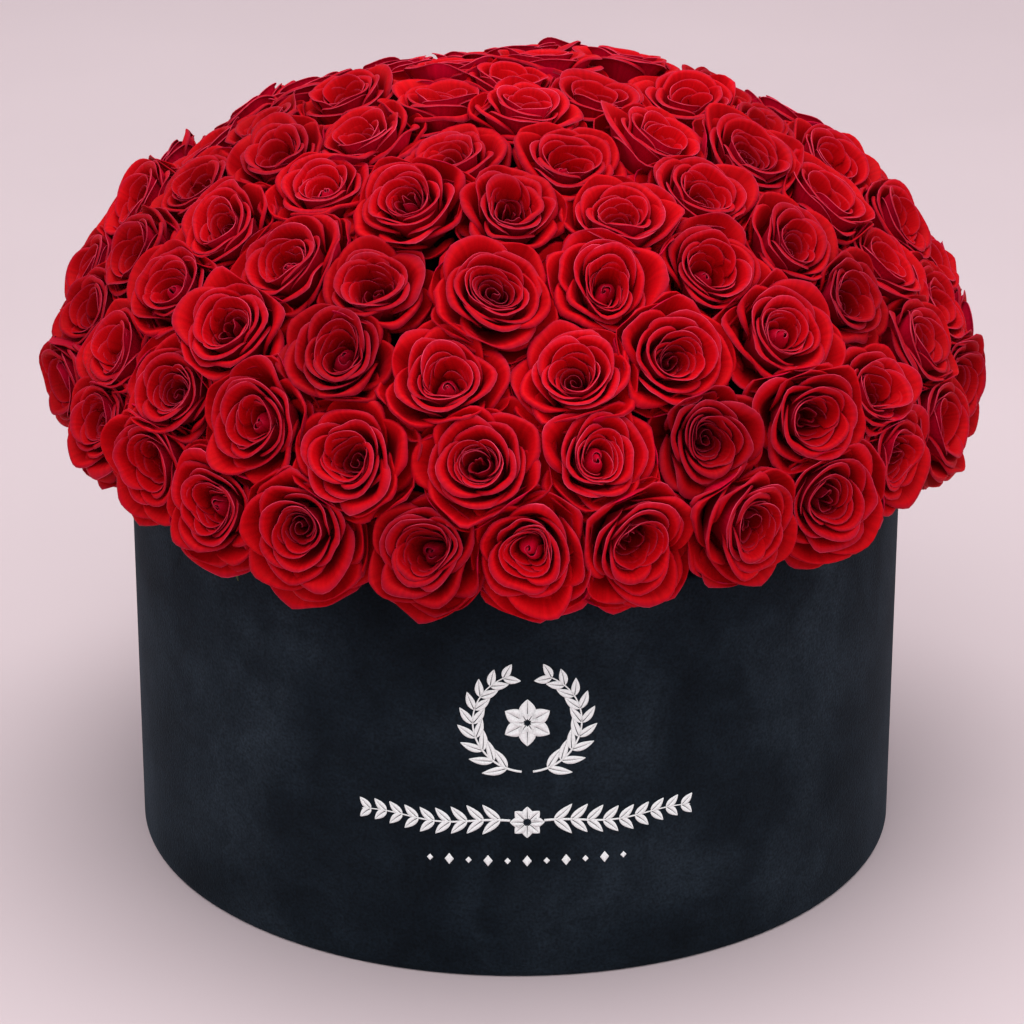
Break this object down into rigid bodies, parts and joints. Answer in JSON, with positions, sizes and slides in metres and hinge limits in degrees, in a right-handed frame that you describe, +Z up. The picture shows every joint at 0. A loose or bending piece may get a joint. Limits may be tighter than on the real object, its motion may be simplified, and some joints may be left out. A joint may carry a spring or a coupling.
{
  "type": "flower box",
  "caption": "Round velvet-covered box with a lift-out foam insert that holds a high dome of cut red roses.",
  "frame": {"origin": "centre of the underside of the box's base, on the surface it stands on", "axes": "+Z up, -Y towards the front of the box, +X to the right seen from the front"},
  "size_m": [0.495, 0.4942, 0.408],
  "materials": {
    "velvet": "dark blue-black velvet with a soft mottled nap",
    "greyboard": "raw greyboard",
    "lining_paper": "matt black paper",
    "liner_film": "thin black plastic",
    "dry_filler": "fine-celled pale grey foam",
    "wet_foam": "fine-celled dark green foam",
    "rose_petals": "velvety petals with a soft sheen"
  },
  "bodies": {
    "box": {"velvet_wrap": "velvet", "box_wall": "greyboard", "base_cover": "velvet", "base_board": "greyboard", "inner_lining": "lining_paper"},
    "insert": {"liner_tub": "liner_film", "filler_brick_1": "dry_filler", "filler_brick_2": "dry_filler", "filler_brick_3": "dry_filler", "foam_crown": "wet_foam", "roses_ring3_1": "rose_petals", "roses_ring3_2": "rose_petals", "roses_ring3_3": "rose_petals", "roses_ring3_4": "rose_petals", "roses_ring3_5": "rose_petals", "roses_ring4_1": "rose_petals", "roses_ring4_2": "rose_petals", "roses_ring4_3": "rose_petals", "roses_ring4_4": "rose_petals", "roses_ring4_5": "rose_petals", "roses_ring4_6": "rose_petals", "roses_ring5_1": "rose_petals", "roses_ring5_2": "rose_petals", "roses_ring5_3": "rose_petals", "roses_ring5_4": "rose_petals", "roses_ring5_5": "rose_petals", "roses_ring5_6": "rose_petals", "roses_ring5_7": "rose_petals", "roses_ring6_1": "rose_petals", "roses_ring6_2": "rose_petals", "roses_ring6_3": "rose_petals", "roses_ring6_4": "rose_petals", "roses_ring6_5": "rose_petals", "roses_ring6_6": "rose_petals", "roses_ring6_7": "rose_petals", "roses_ring6_8": "rose_petals", "roses_ring7_1": "rose_petals", "roses_ring7_2": "rose_petals", "roses_ring7_3": "rose_petals", "roses_ring7_4": "rose_petals", "roses_ring7_5": "rose_petals", "roses_ring7_6": "rose_petals", "roses_ring7_7": "rose_petals", "roses_ring7_8": "rose_petals", "roses_ring7_9": "rose_petals"},
    "rose_crown": {"rose_crown": "rose_petals"},
    "rose_ring1_1": {"rose_ring1_1": "rose_petals"},
    "rose_ring1_2": {"rose_ring1_2": "rose_petals"},
    "rose_ring1_3": {"rose_ring1_3": "rose_petals"},
    "rose_ring1_4": {"rose_ring1_4": "rose_petals"},
    "rose_ring1_5": {"rose_ring1_5": "rose_petals"},
    "rose_ring2_1": {"rose_ring2_1": "rose_petals"},
    "rose_ring2_2": {"rose_ring2_2": "rose_petals"},
    "rose_ring2_3": {"rose_ring2_3": "rose_petals"},
    "rose_ring2_4": {"rose_ring2_4": "rose_petals"},
    "rose_ring2_5": {"rose_ring2_5": "rose_petals"},
    "rose_ring2_6": {"rose_ring2_6": "rose_petals"},
    "rose_ring2_7": {"rose_ring2_7": "rose_petals"},
    "rose_ring2_8": {"rose_ring2_8": "rose_petals"},
    "rose_ring2_9": {"rose_ring2_9": "rose_petals"}
  },
  "joints": [
    {"name": "insert_lift", "type": "slide", "parent": "box", "child": "insert", "axis": [0, 0, 1], "range_m": [0, 0.21]},
    {"name": "rose_crown_pull", "type": "slide", "parent": "insert", "child": "rose_crown", "axis": [-0.0187, 0.0256, 0.9995], "range_m": [0, 0.11]},
    {"name": "rose_ring1_1_pull", "type": "slide", "parent": "insert", "child": "rose_ring1_1", "axis": [0.0448, -0.1386, 0.9893], "range_m": [0, 0.11]},
    {"name": "rose_ring1_2_pull", "type": "slide", "parent": "insert", "child": "rose_ring1_2", "axis": [0.1221, -0.0117, 0.9925], "range_m": [0, 0.11]},
    {"name": "rose_ring1_3_pull", "type": "slide", "parent": "insert", "child": "rose_ring1_3", "axis": [0.0767, 0.1305, 0.9885], "range_m": [0, 0.11]},
    {"name": "rose_ring1_4_pull", "type": "slide", "parent": "insert", "child": "rose_ring1_4", "axis": [-0.0736, 0.0947, 0.9928], "range_m": [0, 0.11]},
    {"name": "rose_ring1_5_pull", "type": "slide", "parent": "insert", "child": "rose_ring1_5", "axis": [-0.1249, -0.1081, 0.9863], "range_m": [0, 0.11]},
    {"name": "rose_ring2_1_pull", "type": "slide", "parent": "insert", "child": "rose_ring2_1", "axis": [0.0896, -0.275, 0.9573], "range_m": [0, 0.11]},
    {"name": "rose_ring2_2_pull", "type": "slide", "parent": "insert", "child": "rose_ring2_2", "axis": [0.2501, -0.1643, 0.9542], "range_m": [0, 0.11]},
    {"name": "rose_ring2_3_pull", "type": "slide", "parent": "insert", "child": "rose_ring2_3", "axis": [0.2732, 0.0469, 0.9608], "range_m": [0, 0.11]},
    {"name": "rose_ring2_4_pull", "type": "slide", "parent": "insert", "child": "rose_ring2_4", "axis": [0.168, 0.239, 0.9564], "range_m": [0, 0.11]},
    {"name": "rose_ring2_5_pull", "type": "slide", "parent": "insert", "child": "rose_ring2_5", "axis": [-0.0091, 0.2635, 0.9646], "range_m": [0, 0.11]},
    {"name": "rose_ring2_6_pull", "type": "slide", "parent": "insert", "child": "rose_ring2_6", "axis": [-0.1943, 0.2063, 0.959], "range_m": [0, 0.11]},
    {"name": "rose_ring2_7_pull", "type": "slide", "parent": "insert", "child": "rose_ring2_7", "axis": [-0.2651, 0.0457, 0.9631], "range_m": [0, 0.11]},
    {"name": "rose_ring2_8_pull", "type": "slide", "parent": "insert", "child": "rose_ring2_8", "axis": [-0.2576, -0.1247, 0.9582], "range_m": [0, 0.11]},
    {"name": "rose_ring2_9_pull", "type": "slide", "parent": "insert", "child": "rose_ring2_9", "axis": [-0.1051, -0.2545, 0.9613], "range_m": [0, 0.11]}
  ]
}
